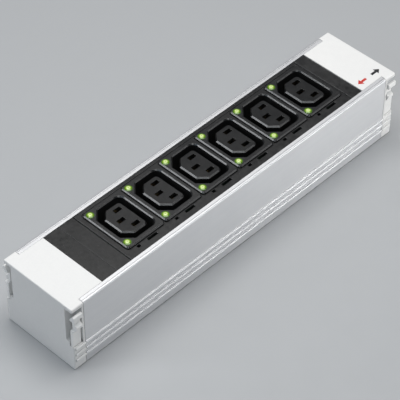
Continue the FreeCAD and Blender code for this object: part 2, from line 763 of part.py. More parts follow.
def plug_shroud():
    """Recessed plug body: a pocket open downwards, bosses for its screws and slots for the blades."""
    half_length, half_width = POCKET_LENGTH / 2, POCKET_WIDTH / 2
    x0, x1 = PLUG_X - half_length, PLUG_X + half_length
    out = SHROUD_WALL
    top = POCKET_DEPTH + SHROUD_TOP
    sleeve = (x0 - out, x1 + out, -half_width - out, half_width + out, SHROUD_RECESS, top)
    body = rounded_plate(*sleeve, SHROUD_CORNER)
    reach, spread = SHROUD_FLANGE_LENGTH / 2, SHROUD_FLANGE_WIDTH / 2
    flange = (PLUG_X - reach, PLUG_X + reach, -spread, spread, FLOOR, FLOOR + SHROUD_FLANGE)
    pieces = [body, rounded_plate(*flange, SHROUD_CORNER)]
    pieces += [rod(x, y, FLOOR, SHROUD_BOSS_TOP, SHROUD_BOSS_R) for x, y in shroud_screw_places()]
    cuts = [box(x0, x1, -half_width, half_width, 0, POCKET_DEPTH)]
    thick = BLADE_THICK / 2 + PRESS_FIT
    wide = STRIP_WIDTH / 2 + PRESS_FIT
    for y in blade_centres():
        cuts.append(box(PLUG_X - thick, PLUG_X + thick, y - wide, y + wide, POCKET_DEPTH, top))
    pilot = SCREW_R + PRESS_FIT
    reach = FLOOR + SHROUD_SCREW_GRIP + PRESS_FIT
    cuts += [rod(x, y, FLOOR, reach, pilot) for x, y in shroud_screw_places()]
    return fuse_all(pieces).cut(cuts)


def plug_blades():
    """Three blades with bevelled points, each under the tail of its strip."""
    half = STRIP_WIDTH / 2
    tip = BLADE_RECESS
    blades = []
    for y in blade_centres():
        wire = outline(
            section(PLUG_X - BLADE_THICK / 2),
            (y - half + BLADE_POINT, tip),
            (y + half - BLADE_POINT, tip),
            (y + half, tip + BLADE_POINT),
            (y + half, STRIP_BOTTOM),
            (y - half, STRIP_BOTTOM),
            (y - half, tip + BLADE_POINT),
        )
        blades.append(along(wire, BLADE_THICK))
    return Part.makeCompound(blades)


def earth_bond_nut():
    x, y = bond_screw_place()
    radius = NUT_FLATS / math.sqrt(3)
    bottom = FLOOR + STRIP_THICK
    corners = [math.radians(60 * i) for i in range(6)]
    points = [(x + radius * math.cos(a), y + radius * math.sin(a)) for a in corners]
    nut = raised(outline(plan(bottom), *points), NUT_HEIGHT)
    return nut.cut(rod(x, y, bottom, bottom + NUT_HEIGHT, SCREW_R + PRESS_FIT))


def cap_envelope():
    """Outer form of an end cap: the channel's section with a rounded outer rim, and its beads."""
    t, b = corner_mid(TOP_ROUND), corner_mid(BASE_ROUND)
    wire = outline(
        section(CAP_INNER),
        (-SIDE + BASE_ROUND, 0),
        (SIDE - BASE_ROUND, 0),
        ((SIDE - b, b), (SIDE, BASE_ROUND)),
        (SIDE, HEIGHT - TOP_ROUND),
        ((SIDE - t, HEIGHT - t), (SIDE - TOP_ROUND, HEIGHT)),
        (-SIDE + TOP_ROUND, HEIGHT),
        ((-SIDE + t, HEIGHT - t), (-SIDE, HEIGHT - TOP_ROUND)),
        (-SIDE, BASE_ROUND),
        ((-SIDE + b, b), (-SIDE + BASE_ROUND, 0)),
    )
    end = LENGTH / 2
    block = along(wire, end - CAP_INNER)
    block = rounded_at(block, CAP_ROUND, lambda box_: box_.XMin > end - 1e-4)
    half = BEAD_WIDTH / 2
    beads = []
    for z in bead_heights():
        wire = outline(
            section(CAP_INNER),
            (SIDE - BEAD_RISE, z - half),
            (SIDE, z - half),
            ((SIDE + BEAD_RISE, z), (SIDE, z + half)),
            (SIDE - BEAD_RISE, z + half),
        )
        beads += both_sides(along(wire, end - CAP_BEAD_SHORT - CAP_INNER))
    return fuse_all([block] + beads)


def latch_pocket():
    """Room for a latch in a cap's corner: slot, round slot end, relief and the root's socket."""
    far = SIDE + CAP_DEPTH
    end = LENGTH / 2
    top = HEIGHT - CAP_TOP
    slot_z = HEIGHT - LATCH_SLOT_DROP
    block_z = HEIGHT - LATCH_BLOCK_DROP
    radius = (ARM_BACK - LATCH_POCKET) / 2
    relief = ARM_BACK - LATCH_RELIEF
    round_end = lying_rod(POCKET_X0, end, LATCH_POCKET + radius, slot_z, radius)
    socket = lying_rod(POCKET_X0, NECK_X1, ROOT_Y, ROOT_Z, LATCH_ROOT_R + RUN_FIT)
    pieces = [
        box(POCKET_X0, end, LATCH_POCKET, far, slot_z, top),
        box(POCKET_X0, end, relief, far, block_z, slot_z),
        box(POCKET_X0, NECK_X1, relief, ARM_OUT + LATCH_SIDE_GAP, ROOT_Z, block_z),
        round_end,
        socket,
    ]
    return fuse_all(pieces)


def end_cap():
    """Cap for the tail end: ribbed face, tongues above and below, screw bosses, latch pockets."""
    wall = LATCH_POCKET - CAP_SIDE
    face = LENGTH / 2 - CAP_FACE
    roof = HEIGHT - CAP_TOP
    shoulder = SIDE - CAP_SHOULDER_IN
    top = HEIGHT - CAP_SHOULDER_IN
    neck = box(CHANNEL_HALF, CAP_INNER, -shoulder, shoulder, CAP_SHOULDER_IN, top)
    hollow = box(CHANNEL_HALF, face, -wall, wall, FLOOR + CAP_FOOT, roof)
    cap = fuse_all([cap_envelope(), neck]).cut(both_sides(latch_pocket()) + [hollow])
    foot_start = CHANNEL_HALF - CAP_FOOT_LENGTH
    more = [cap]
    for y in (-CAP_RIB_SPREAD, CAP_RIB_SPREAD):
        half = CAP_RIB / 2
        more.append(box(CHANNEL_HALF, face, y - half, y + half, FLOOR + CAP_FOOT, roof))
    more.append(fascia_plate(FASCIA_TAIL, CHANNEL_HALF + CAP_SHADOW, HEIGHT))
    foot = (foot_start, CAP_INNER, -CAP_FOOT_HALF, CAP_FOOT_HALF, FLOOR, FLOOR + CAP_FOOT)
    more.append(box(*foot))
    places = [place for place in cap_screw_places() if place[0] > 0]
    more += [rod(x, y, FLOOR, FLOOR + CAP_BOSS_HEIGHT + CAP_FOOT / 2, CAP_BOSS_R) for x, y in places]
    depth = FLOOR + CAP_SCREW_GRIP + PRESS_FIT
    pilots = [rod(x, y, FLOOR, depth, SCREW_R + PRESS_FIT) for x, y in places]
    return fuse_all(more).cut(pilots)


def latch():
    """Latch of the tail end's left corner: root bead, arm, notched stem with the catch, finger tab."""
    def drop(depth):
        return HEIGHT - depth
    neck_top = drop(LATCH_BLOCK_DROP) + LATCH_SIDE_GAP
    neck_x1 = NECK_X1 - LATCH_END_GAP
    tab_out = SIDE + TAB_OUT
    m = corner_mid(TAB_ROUND)
    arm = outline(
        section(LATCH_X0),
        (ARM_BACK, neck_top),
        (ARM_OUT, neck_top),
        (ARM_OUT, drop(CATCH_BASE_DROP)),
        (SIDE + CATCH_OUT, drop(CATCH_TIP_DROP + CATCH_TIP)),
        (SIDE + CATCH_OUT, drop(CATCH_TIP_DROP - CATCH_TIP)),
        (ARM_OUT, drop(CATCH_TOP_DROP)),
        (ARM_OUT, drop(TAB_BACK_DROP)),
        (tab_out, drop(TAB_BASE_DROP)),
        (tab_out, drop(TAB_TOP_DROP + TAB_ROUND)),
        ((tab_out - m, drop(TAB_TOP_DROP + m)), (tab_out - TAB_ROUND, drop(TAB_TOP_DROP))),
        (tab_out - TAB_LAND, drop(TAB_TOP_DROP)),
        (ARM_BACK, drop(TAB_SLOPE_DROP)),
    )
    neck = box(LATCH_X0, neck_x1, ARM_BACK, ARM_OUT, ROOT_Z, neck_top)
    root = lying_rod(LATCH_X0, neck_x1, ROOT_Y, ROOT_Z, LATCH_ROOT_R)
    notch = (LATCH_X0 + LATCH_STEM, LATCH_X1, ARM_BACK, SIDE + CAP_DEPTH)
    cut = box(*notch, drop(NOTCH_BASE_DROP), drop(TAB_BACK_DROP))
    return fuse_all([along(arm, LATCH_WIDTH), neck, root]).cut(cut)


def strip_tail():
    return LAST_OUTLET + STRIP_OVERRUN


def all_parts():
    parts = {
        "housing_profile": housing_profile(),
        "outlet_carrier": outlet_carrier(),
        "blank_cover_feed": blank_cover_feed(),
        "blank_cover_tail": blank_cover_tail(),
        "live_strip": contact_strip("live", BLADE_SPREAD, strip_tail()),
        "neutral_strip": contact_strip("neutral", -BLADE_SPREAD, strip_tail()),
        "earth_strip": earth_strip(),
        "contact_tray": contact_tray(),
        "tray_screws": tray_screws(),
        "indicator_board": indicator_board(),
        "indicator_lamps": indicator_lamps(),
        "board_screws": board_screws(),
        "board_feed_pins": board_feed_pins(),
        "plug_shroud": plug_shroud(),
        "plug_blades": plug_blades(),
        "earth_bond_nut": earth_bond_nut(),
        "earth_bond_screw": countersunk_screw(*bond_screw_place(), BOND_SCREW_GRIP),
    }
    screws = {
        "cap_screws": (cap_screw_places(), CAP_SCREW_GRIP),
        "shroud_screws": (shroud_screw_places(), SHROUD_SCREW_GRIP),
    }
    for name, (places, grip) in screws.items():
        parts[name] = Part.makeCompound([countersunk_screw(x, y, grip) for x, y in places])
    for number, x in enumerate(OUTLETS, start=1):
        parts[f"outlet_housing_{number}"] = outlet_housing(x)
        parts[f"outlet_core_{number}"] = outlet_core(x)
        parts[f"status_lenses_{number}"] = status_lenses(x)
    centre = vec(0, 0, 0)
    across, along_x = vec(0, 1, 0), vec(1, 0, 0)
    parts["end_cap_tail"] = end_cap()
    parts["end_cap_feed"] = parts["end_cap_tail"].mirror(centre, along_x)
    parts["latch_tail_left"] = latch()
    parts["latch_tail_right"] = parts["latch_tail_left"].mirror(centre, across)
    parts["latch_feed_left"] = parts["latch_tail_left"].mirror(centre, along_x)
    parts["latch_feed_right"] = parts["latch_feed_left"].mirror(centre, across)
    return parts


def main():
    os.makedirs("parts", exist_ok=True)
    for name, shape in all_parts().items():
        solids = shape.Solids
        whole = solids[0] if len(solids) == 1 else Part.makeCompound(solids)
        whole.exportStep(f"parts/{name}.step")
        print(name, len(solids), whole.isValid(), round(whole.Volume, 1))


main()
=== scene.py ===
"""Looks of the rack socket module: finishes, lit lenses, printed marks, studio and camera."""

import logging
import math
from dataclasses import dataclass, field
from enum import Enum
from typing import Any

import bmesh
import bpy
from mathutils import Matrix, Vector


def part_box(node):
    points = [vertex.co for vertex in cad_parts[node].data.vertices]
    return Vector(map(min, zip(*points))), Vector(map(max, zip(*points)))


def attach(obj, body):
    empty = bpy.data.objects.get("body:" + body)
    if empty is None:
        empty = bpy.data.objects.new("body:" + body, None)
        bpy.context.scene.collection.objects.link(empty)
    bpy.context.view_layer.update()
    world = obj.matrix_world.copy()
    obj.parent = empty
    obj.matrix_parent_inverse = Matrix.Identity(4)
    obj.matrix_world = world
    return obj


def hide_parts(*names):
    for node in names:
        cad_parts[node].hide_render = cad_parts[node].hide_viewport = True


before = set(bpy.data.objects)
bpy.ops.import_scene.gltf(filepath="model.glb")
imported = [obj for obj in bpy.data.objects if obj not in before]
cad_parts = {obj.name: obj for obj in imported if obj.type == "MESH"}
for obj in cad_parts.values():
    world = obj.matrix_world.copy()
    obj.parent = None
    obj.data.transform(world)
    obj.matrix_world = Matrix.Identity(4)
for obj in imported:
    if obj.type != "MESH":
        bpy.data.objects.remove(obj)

LOG = logging.getLogger("rack_socket_module")
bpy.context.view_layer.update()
MM = 0.001
OUTLET_NUMBERS = range(1, 7)
ENDS = ("feed", "tail")
SIDES = ("left", "right")
RING_LAYER = "ring"
SMOOTH_DEGREES = 35.0
MERGE_GAP = 0.001 * MM
NODE_STEP = 190
RISE = (0.0, 1.0)
FALL = (1.0, 0.0)

Colour = tuple[float, float, float, float]
Triple = tuple[float, float, float]
Pair = tuple[float, float]


class Socket(Enum):
    """Kinds of socket on a shared shader group."""

    VALUE = "NodeSocketFloat"
    VECTOR = "NodeSocketVector"


class Effect(Enum):
    """Surface effects that more than one finish uses."""

    SOFT_EDGE = "soft_edge"
    MOULD_GRAIN = "mould_grain"
    DRAWN_LINES = "drawn_lines"
    HANDLING = "handling"
    DUST = "dust"
    PAINTED_RECESS_SHADE = "recess"


class Heading(Enum):
    """Directions that a printed arrow points in along the module."""

    TAIL = 1
    FEED = -1


class MixSocket(Enum):
    """Places of the colour sockets on a mix node."""

    SHARE = 0
    FIRST = 6
    SECOND = 7
    RESULT = 2


class Sheet:
    """Adds and links the nodes of one shader tree."""

    def __init__(self, tree: bpy.types.NodeTree) -> None:
        """Starts an empty row of nodes in a material's or a group's tree."""
        self.tree = tree
        self.column = 0

    def add(self, kind: str, sockets: dict[Any, Any] | None = None, **settings: Any) -> bpy.types.Node:
        """Adds a node, sets its properties, then sets or links its inputs.

        Args:
            kind: Blender's name for the node type.
            sockets: Values or output sockets by input name or index.
            **settings: Properties of the node itself.

        Returns:
            The new node.
        """
        node = self.tree.nodes.new(kind)
        node.location = (self.column, 0)
        self.column += NODE_STEP
        for name, value in settings.items():
            setattr(node, name, value)
        for name, value in (sockets or {}).items():
            self.feed(node.inputs[name], value)
        return node

    def feed(self, socket: bpy.types.NodeSocket, value: Any) -> None:
        """Links an output socket to an input, or sets the input's own value.

        Args:
            socket: The input.
            value: An output socket, or a plain value.
        """
        if isinstance(value, bpy.types.NodeSocket):
            self.tree.links.new(value, socket)
        else:
            socket.default_value = value

    def math(self, operation: str, *values: Any) -> bpy.types.NodeSocket:
        """Does one of Blender's sums on one to three values or sockets."""
        return self.add("ShaderNodeMath", dict(enumerate(values)), operation=operation).outputs[0]

    def weigh(self, first: Any, share: float, second: Any) -> bpy.types.NodeSocket:
        """Adds two patterns up, the first by its share and the second by the rest."""
        return self.math("MULTIPLY_ADD", first, share, self.math("MULTIPLY", second, 1.0 - share))

    def lower(self, value: Any, mask: Any, amount: float) -> bpy.types.NodeSocket:
        """Takes some of a mask off a value."""
        return self.math("MULTIPLY_ADD", mask, -amount, value)

    def upward(self, normal: Any) -> bpy.types.NodeSocket:
        """Part of a normal that points upwards."""
        return self.add("ShaderNodeSeparateXYZ", {0: normal}).outputs["Z"]

    def noise(self, place: Any, scale: Any, detail: float = 2.0) -> bpy.types.NodeSocket:
        """Soft random pattern from 0 to 1, by its blotches per metre and its number of finer layers."""
        sockets = {"Vector": place, "Scale": scale, "Detail": detail}
        return self.add("ShaderNodeTexNoise", sockets).outputs["Fac"]

    def remap(self, value: Any, old: Pair, new: Pair) -> bpy.types.NodeSocket:
        """Maps one range on to another, held at its ends."""
        sockets = {"Value": value, "From Min": old[0], "From Max": old[1], "To Min": new[0], "To Max": new[1]}
        return self.add("ShaderNodeMapRange", sockets, clamp=True).outputs["Result"]

    def mix(self, share: Any, first: Any, second: Any) -> bpy.types.NodeSocket:
        """Blends two colours by the second one's share."""
        sockets = {MixSocket.SHARE.value: share, MixSocket.FIRST.value: first, MixSocket.SECOND.value: second}
        return self.add("ShaderNodeMix", sockets, data_type="RGBA").outputs[MixSocket.RESULT.value]

    def tint(self, colour: Any, mask: Any, amount: float, second: Colour) -> bpy.types.NodeSocket:
        """Lays some of a second colour over the first where a mask is."""
        return self.mix(self.math("MULTIPLY", mask, amount), colour, second)

    def stretched(self, place: Any, scale: Triple, turn: float = 0.0) -> bpy.types.NodeSocket:
        """Scales coordinates and turns them about the vertical, so that a pattern runs in one direction."""
        sockets = {"Vector": place, "Scale": scale, "Rotation": (0.0, 0.0, turn)}
        return self.add("ShaderNodeMapping", sockets).outputs["Vector"]

    def bump(self, height: Any, depth: float, normal: Any) -> bpy.types.NodeSocket:
        """Turns a height pattern, with its depth in metres, into bumps on a normal."""
        sockets = {"Strength": 1.0, "Distance": depth, "Height": height, "Normal": normal}
        return self.add("ShaderNodeBump", sockets).outputs["Normal"]


@dataclass
class Effects:
    """Builds each shared shader group once and places it in materials."""

    edge_samples: int = 6
    edge_match: Pair = (0.80, 0.99)
    rim_rise: float = 0.7
    rim_lean: Pair = (0.10, 0.24)
    pit_scale: float = 0.55
    pit_smoothness: float = 0.6
    pit_share: float = 0.6
    grain_tone_scale: float = 0.3
    fine_lines: Triple = (6.0, 2600.0, 2600.0)
    broad_lines: Triple = (2.0, 420.0, 420.0)
    broad_height: float = 0.5
    broad_tone: float = 0.6
    hand_patches: float = 32.0
    hand_spots: float = 240.0
    spot_tone: float = 0.35
    hairlines: Triple = (70.0, 3200.0, 900.0)
    hair_turns: Pair = (0.35, -0.9)
    hair_limits: Pair = (0.70, 0.76)
    scuff_patches: float = 95.0
    scuff_limits: Pair = (0.55, 0.68)
    speck_scale: float = 1900.0
    speck_limits: Pair = (0.70, 0.78)
    speck_facing: Pair = (0.6, 1.0)
    recess_samples: int = 8
    recess_limits: Pair = (0.30, 0.80)
    built: dict[Effect, bpy.types.NodeTree] = field(default_factory=dict)

    def place(self, sheet: Sheet, effect: Effect, values: dict[str, Any]) -> bpy.types.Node:
        """Puts a shared effect in a material.

        Args:
            sheet: The material's nodes.
            effect: Which effect.
            values: Values or sockets for the group's inputs.

        Returns:
            The group's node.
        """
        if effect not in self.built:
            self.built[effect] = getattr(self, effect.value)()
        return sheet.add("ShaderNodeGroup", values, node_tree=self.built[effect])

    @staticmethod
    def begin(
        effect: Effect, inputs: dict[str, Socket], outputs: dict[str, Socket]
    ) -> tuple[Sheet, bpy.types.Node, bpy.types.Node]:
        """Makes an empty group with named sockets.

        Args:
            effect: Effect that the group is for.
            inputs: Kind of each input.
            outputs: Kind of each output.

        Returns:
            The group's sheet, its input node and its output node.
        """
        tree = bpy.data.node_groups.new(effect.value, "ShaderNodeTree")
        for name, kind in inputs.items():
            tree.interface.new_socket(name=name, in_out="INPUT", socket_type=kind.value)
        for name, kind in outputs.items():
            tree.interface.new_socket(name=name, in_out="OUTPUT", socket_type=kind.value)
        sheet = Sheet(tree)
        return sheet, sheet.add("NodeGroupInput"), sheet.add("NodeGroupOutput")

    def soft_edge(self) -> bpy.types.NodeTree:
        """Rounds sharp edges in the shading and marks the edges and the sloping rims.

        Returns:
            A group with the rounded normal, an edge mask for wear and painted highlights, and a mask of the
            slopes.
        """
        wanted = {"Normal": Socket.VECTOR, "WearAndHighlight": Socket.VALUE, "Slope": Socket.VALUE}
        sheet, given, out = self.begin(Effect.SOFT_EDGE, {"Radius": Socket.VALUE}, wanted)
        bevel = sheet.add("ShaderNodeBevel", {"Radius": given.outputs["Radius"]}, samples=self.edge_samples)
        rounded = bevel.outputs["Normal"]
        flat = sheet.add("ShaderNodeNewGeometry").outputs["Normal"]
        match = sheet.add("ShaderNodeVectorMath", {0: rounded, 1: flat}, operation="DOT_PRODUCT")
        lean = sheet.math("ABSOLUTE", sheet.math("ADD", sheet.upward(rounded), -self.rim_rise))
        sheet.feed(out.inputs["Normal"], rounded)
        sheet.feed(out.inputs["WearAndHighlight"], sheet.remap(match.outputs["Value"], self.edge_match, FALL))
        sheet.feed(out.inputs["Slope"], sheet.remap(lean, self.rim_lean, FALL))
        return sheet.tree

    def mould_grain(self) -> bpy.types.NodeTree:
        """Fine eroded texture of an injection mould.

        Returns:
            A group with the grain's height and its tone.
        """
        asked = {"Vector": Socket.VECTOR, "Scale": Socket.VALUE}
        wanted = {"Height": Socket.VALUE, "Tone": Socket.VALUE}
        sheet, given, out = self.begin(Effect.MOULD_GRAIN, asked, wanted)
        place, scale = given.outputs["Vector"], given.outputs["Scale"]
        fine = sheet.noise(place, scale, detail=3.0)
        pit_scale = sheet.math("MULTIPLY", scale, self.pit_scale)
        sockets = {"Vector": place, "Scale": pit_scale, "Smoothness": self.pit_smoothness}
        pits = sheet.add("ShaderNodeTexVoronoi", sockets, feature="SMOOTH_F1").outputs["Distance"]
        tone_scale = sheet.math("MULTIPLY", scale, self.grain_tone_scale)
        sheet.feed(out.inputs["Height"], sheet.math("MULTIPLY_ADD", pits, self.pit_share, fine))
        sheet.feed(out.inputs["Tone"], sheet.noise(place, tone_scale, detail=4.0))
        return sheet.tree

    def drawn_lines(self) -> bpy.types.NodeTree:
        """Faint lines that a die leaves along the metal.

        Returns:
            A group with the lines' height and tone.
        """
        wanted = {"Height": Socket.VALUE, "Tone": Socket.VALUE}
        sheet, given, out = self.begin(Effect.DRAWN_LINES, {"Vector": Socket.VECTOR}, wanted)
        place = given.outputs["Vector"]
        fine = sheet.noise(sheet.stretched(place, self.fine_lines), scale=1.0, detail=3.0)
        broad = sheet.noise(sheet.stretched(place, self.broad_lines), scale=1.0)
        sheet.feed(out.inputs["Height"], sheet.math("MULTIPLY_ADD", broad, self.broad_height, fine))
        sheet.feed(out.inputs["Tone"], sheet.weigh(broad, self.broad_tone, fine))
        return sheet.tree

    def handling(self) -> bpy.types.NodeTree:
        """Soft patches where hands polish a surface, and short hairline scuffs.

        Returns:
            A group with the patches' tone and the scuffs' mask.
        """
        wanted = {"Tone": Socket.VALUE, "Scuffs": Socket.VALUE}
        sheet, given, out = self.begin(Effect.HANDLING, {"Vector": Socket.VECTOR}, wanted)
        place = given.outputs["Vector"]
        broad = sheet.noise(place, self.hand_patches, detail=4.0)
        small = sheet.noise(place, self.hand_spots, detail=3.0)
        hairs = []
        for turn in self.hair_turns:
            lines = sheet.noise(sheet.stretched(place, self.hairlines, turn), scale=1.0, detail=1.0)
            hairs.append(sheet.remap(lines, self.hair_limits, RISE))
        patches = sheet.remap(sheet.noise(place, self.scuff_patches), self.scuff_limits, RISE)
        sheet.feed(out.inputs["Tone"], sheet.weigh(small, self.spot_tone, broad))
        sheet.feed(out.inputs["Scuffs"], sheet.math("MULTIPLY", sheet.math("MAXIMUM", *hairs), patches))
        return sheet.tree

    def dust(self) -> bpy.types.NodeTree:
        """Specks that settle on surfaces which face upwards.

        Returns:
            A group with the specks' mask.
        """
        sheet, given, out = self.begin(Effect.DUST, {"Vector": Socket.VECTOR}, {"Mask": Socket.VALUE})
        pattern = sheet.noise(given.outputs["Vector"], self.speck_scale, detail=1.0)
        specks = sheet.remap(pattern, self.speck_limits, RISE)
        normal = sheet.add("ShaderNodeNewGeometry").outputs["Normal"]
        facing = sheet.remap(sheet.upward(normal), self.speck_facing, RISE)
        sheet.feed(out.inputs["Mask"], sheet.math("MULTIPLY", specks, facing))
        return sheet.tree

    def recess(self) -> bpy.types.NodeTree:
        """Painted shade deep inside a piece's own pockets.

        Returns:
            A group with a mask of the depths.
        """
        sheet, given, out = self.begin(Effect.PAINTED_RECESS_SHADE, {"Reach": Socket.VALUE}, {"Mask": Socket.VALUE})
        sockets = {"Distance": given.outputs["Reach"]}
        settings = {"samples": self.recess_samples, "only_local": True}
        # Occlusion by the piece's own shape, made into a mask of painted shade.
        open_share = sheet.add("ShaderNodeAmbientOcclusion", sockets, **settings).outputs["AO"]
        sheet.feed(out.inputs["Mask"], sheet.remap(open_share, self.recess_limits, FALL))
        return sheet.tree


@dataclass
class Coat:
    """Nodes of one material while its finish fills them in."""

    sheet: Sheet
    shader: bpy.types.Node
    place: bpy.types.NodeSocket
    effects: Effects

    def effect(self, effect: Effect, **values: Any) -> bpy.types.Node:
        """Puts a shared effect in the material and gives its node."""
        return self.effects.place(self.sheet, effect, values)

    def feed(self, name: str, value: Any) -> None:
        """Sets or links one input of the surface shader."""
        self.sheet.feed(self.shader.inputs[name], value)


@dataclass(frozen=True)
class Finish:
    """A surface finish by name; each kind of finish fills in its own shading."""

    title: str

    def material(self, effects: Effects) -> bpy.types.Material:
        """Makes the finish's material.

        Args:
            effects: The shared shader groups.

        Returns:
            The new material.
        """
        material = bpy.data.materials.new(self.title)
        material.use_nodes = True
        material.node_tree.nodes.clear()
        sheet = Sheet(material.node_tree)
        shader = sheet.add("ShaderNodeBsdfPrincipled")
        sheet.add("ShaderNodeOutputMaterial", {"Surface": shader.outputs["BSDF"]})
        place = sheet.add("ShaderNodeTexCoord").outputs["Object"]
        self.shade(Coat(sheet, shader, place, effects))
        return material

    def shade(self, coat: Coat) -> None:
        """Adds the finish's own nodes to a coat."""
        raise NotImplementedError


@dataclass(frozen=True)
class MouldedPlastic(Finish):
    """Injection moulded plastic with an eroded grain, softened edges, scuffs and dust; its edges are lighter
    from wear and a painted highlight, and its pockets can have painted shade.
    """

    colour: Colour
    shade_colour: Colour
    worn_and_highlight_colour: Colour
    roughness: Pair = (0.46, 0.60)
    grain: float = 3000.0
    grain_depth: float = 0.012 * MM
    grain_tone: float = 0.4
    colour_limits: Pair = (0.36, 0.62)
    rough_limits: Pair = (0.35, 0.65)
    edge: float = 0.22 * MM
    edge_wear_and_highlight: float = 0.35
    edge_polish: float = 0.08
    wear_limits: Pair = (0.35, 0.6)
    wear_range: Pair = (0.3, 1.0)
    dusty: float = 0.0
    dust_colour: Colour = (0.55, 0.54, 0.52, 1.0)
    polish: float = 0.0
    ior: float = 1.5
    pocket_shade: float = 0.0
    pocket_shade_reach: float = 7 * MM
    pocket_shade_colour: Colour = (0.06, 0.06, 0.062, 1.0)

    def shade(self, coat: Coat) -> None:
        """Adds the plastic's nodes.

        Args:
            coat: The material's nodes.
        """
        sheet = coat.sheet
        edge = coat.effect(Effect.SOFT_EDGE, Radius=self.edge)
        grain = coat.effect(Effect.MOULD_GRAIN, Vector=coat.place, Scale=self.grain)
        hands = coat.effect(Effect.HANDLING, Vector=coat.place)
        tone = sheet.weigh(grain.outputs["Tone"], self.grain_tone, hands.outputs["Tone"])
        colour = sheet.mix(sheet.remap(tone, self.colour_limits, RISE), self.shade_colour, self.colour)
        handled = sheet.remap(hands.outputs["Tone"], self.wear_limits, self.wear_range)
        # Lighter edges: partly wear, partly a painted highlight; the scuffs are wear.
        worn_and_highlight = sheet.math("MULTIPLY", edge.outputs["WearAndHighlight"], handled)
        for mask in (worn_and_highlight, hands.outputs["Scuffs"]):
            colour = sheet.tint(colour, mask, self.edge_wear_and_highlight, self.worn_and_highlight_colour)
        if self.dusty:
            specks = coat.effect(Effect.DUST, Vector=coat.place).outputs["Mask"]
            colour = sheet.tint(colour, specks, self.dusty, self.dust_colour)
        # Painted shade: the deep insides of the piece's own pockets are darkened.
        if self.pocket_shade:
            painted_depth_shade = coat.effect(Effect.PAINTED_RECESS_SHADE, Reach=self.pocket_shade_reach).outputs["Mask"]
            colour = sheet.tint(colour, painted_depth_shade, self.pocket_shade, self.pocket_shade_colour)
        rough = sheet.remap(tone, self.rough_limits, self.roughness)
        rough = sheet.lower(rough, worn_and_highlight, self.edge_polish)
        if self.polish:
            rough = sheet.lower(rough, edge.outputs["Slope"], self.polish)
        coat.feed("IOR", self.ior)
        coat.feed("Base Color", colour)
        coat.feed("Roughness", rough)
        coat.feed("Normal", sheet.bump(grain.outputs["Height"], self.grain_depth, edge.outputs["Normal"]))


@dataclass(frozen=True)
class LitBezel(MouldedPlastic):
    """Moulded plastic with some green light that spills round each lens."""

    spill: Colour = (0.026, 0.066, 0.003, 1.0)
    unlit: Colour = (0.0, 0.0, 0.0, 1.0)
    near: float = 2.25 * MM
    far: float = 2.8 * MM

    def shade(self, coat: Coat) -> None:
        """Adds the plastic's nodes and the spilt light.

        Args:
            coat: The material's nodes.
        """
        super().shade(coat)
        sheet = coat.sheet
        low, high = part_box("status_lenses_1")
        head = (high.x - low.x) / 2
        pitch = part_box("status_lenses_2")[0].x - low.x
        axes = sheet.add("ShaderNodeSeparateXYZ", {0: coat.place})
        along = sheet.math("ADD", axes.outputs["X"], -low.x - head)
        along = sheet.math("WRAP", along, pitch / 2, -pitch / 2)
        across = sheet.math("ABSOLUTE", sheet.math("ADD", axes.outputs["Y"], -(low.y + high.y) / 2))
        across = sheet.math("ADD", across, head - (high.y - low.y) / 2)
        square = sheet.math("MULTIPLY_ADD", along, along, sheet.math("MULTIPLY", across, across))
        share = sheet.remap(sheet.math("SQRT", square), (self.near, self.far), FALL)
        coat.feed("Emission Color", sheet.mix(share, self.unlit, self.spill))
        coat.feed("Emission Strength", 1.0)


@dataclass(frozen=True)
class DrawnMetal(Finish):
    """Metal with lines along the module: matt anodised, rolled or plated; it can have painted shade in its
    grooves.
    """

    colour: Colour
    shade_colour: Colour
    roughness: Pair
    line_depth: float = 0.004 * MM
    line_tone: float = 0.55
    colour_limits: Pair = (0.38, 0.60)
    rough_limits: Pair = (0.36, 0.64)
    etch_depth: float = 0.003 * MM
    etch: float = 5200.0
    edge: float = 0.2 * MM
    edge_shine: float = 0.10
    groove_shade: float = 0.0
    groove_shade_reach: float = 2.2 * MM
    groove_shade_colour: Colour = (0.16, 0.16, 0.17, 1.0)

    def shade(self, coat: Coat) -> None:
        """Adds the metal's nodes.

        Args:
            coat: The material's nodes.
        """
        sheet = coat.sheet
        edge = coat.effect(Effect.SOFT_EDGE, Radius=self.edge)
        lines = coat.effect(Effect.DRAWN_LINES, Vector=coat.place)
        etch = coat.effect(Effect.MOULD_GRAIN, Vector=coat.place, Scale=self.etch)
        hands = coat.effect(Effect.HANDLING, Vector=coat.place)
        tone = sheet.weigh(lines.outputs["Tone"], self.line_tone, hands.outputs["Tone"])
        colour = sheet.mix(sheet.remap(tone, self.colour_limits, RISE), self.shade_colour, self.colour)
        # Painted shade: the creases between the beads and the piece's other hollows are darkened.
        if self.groove_shade:
            painted_depth_shade = coat.effect(Effect.PAINTED_RECESS_SHADE, Reach=self.groove_shade_reach).outputs["Mask"]
            colour = sheet.tint(colour, painted_depth_shade, self.groove_shade, self.groove_shade_colour)
        rough = sheet.remap(tone, self.rough_limits, self.roughness)
        for mask in (edge.outputs["WearAndHighlight"], hands.outputs["Scuffs"]):
            rough = sheet.lower(rough, mask, self.edge_shine)
        normal = sheet.bump(lines.outputs["Height"], self.line_depth, edge.outputs["Normal"])
        coat.feed("Metallic", 1.0)
        coat.feed("Base Color", colour)
        coat.feed("Roughness", rough)
        coat.feed("Normal", sheet.bump(etch.outputs["Height"], self.etch_depth, normal))


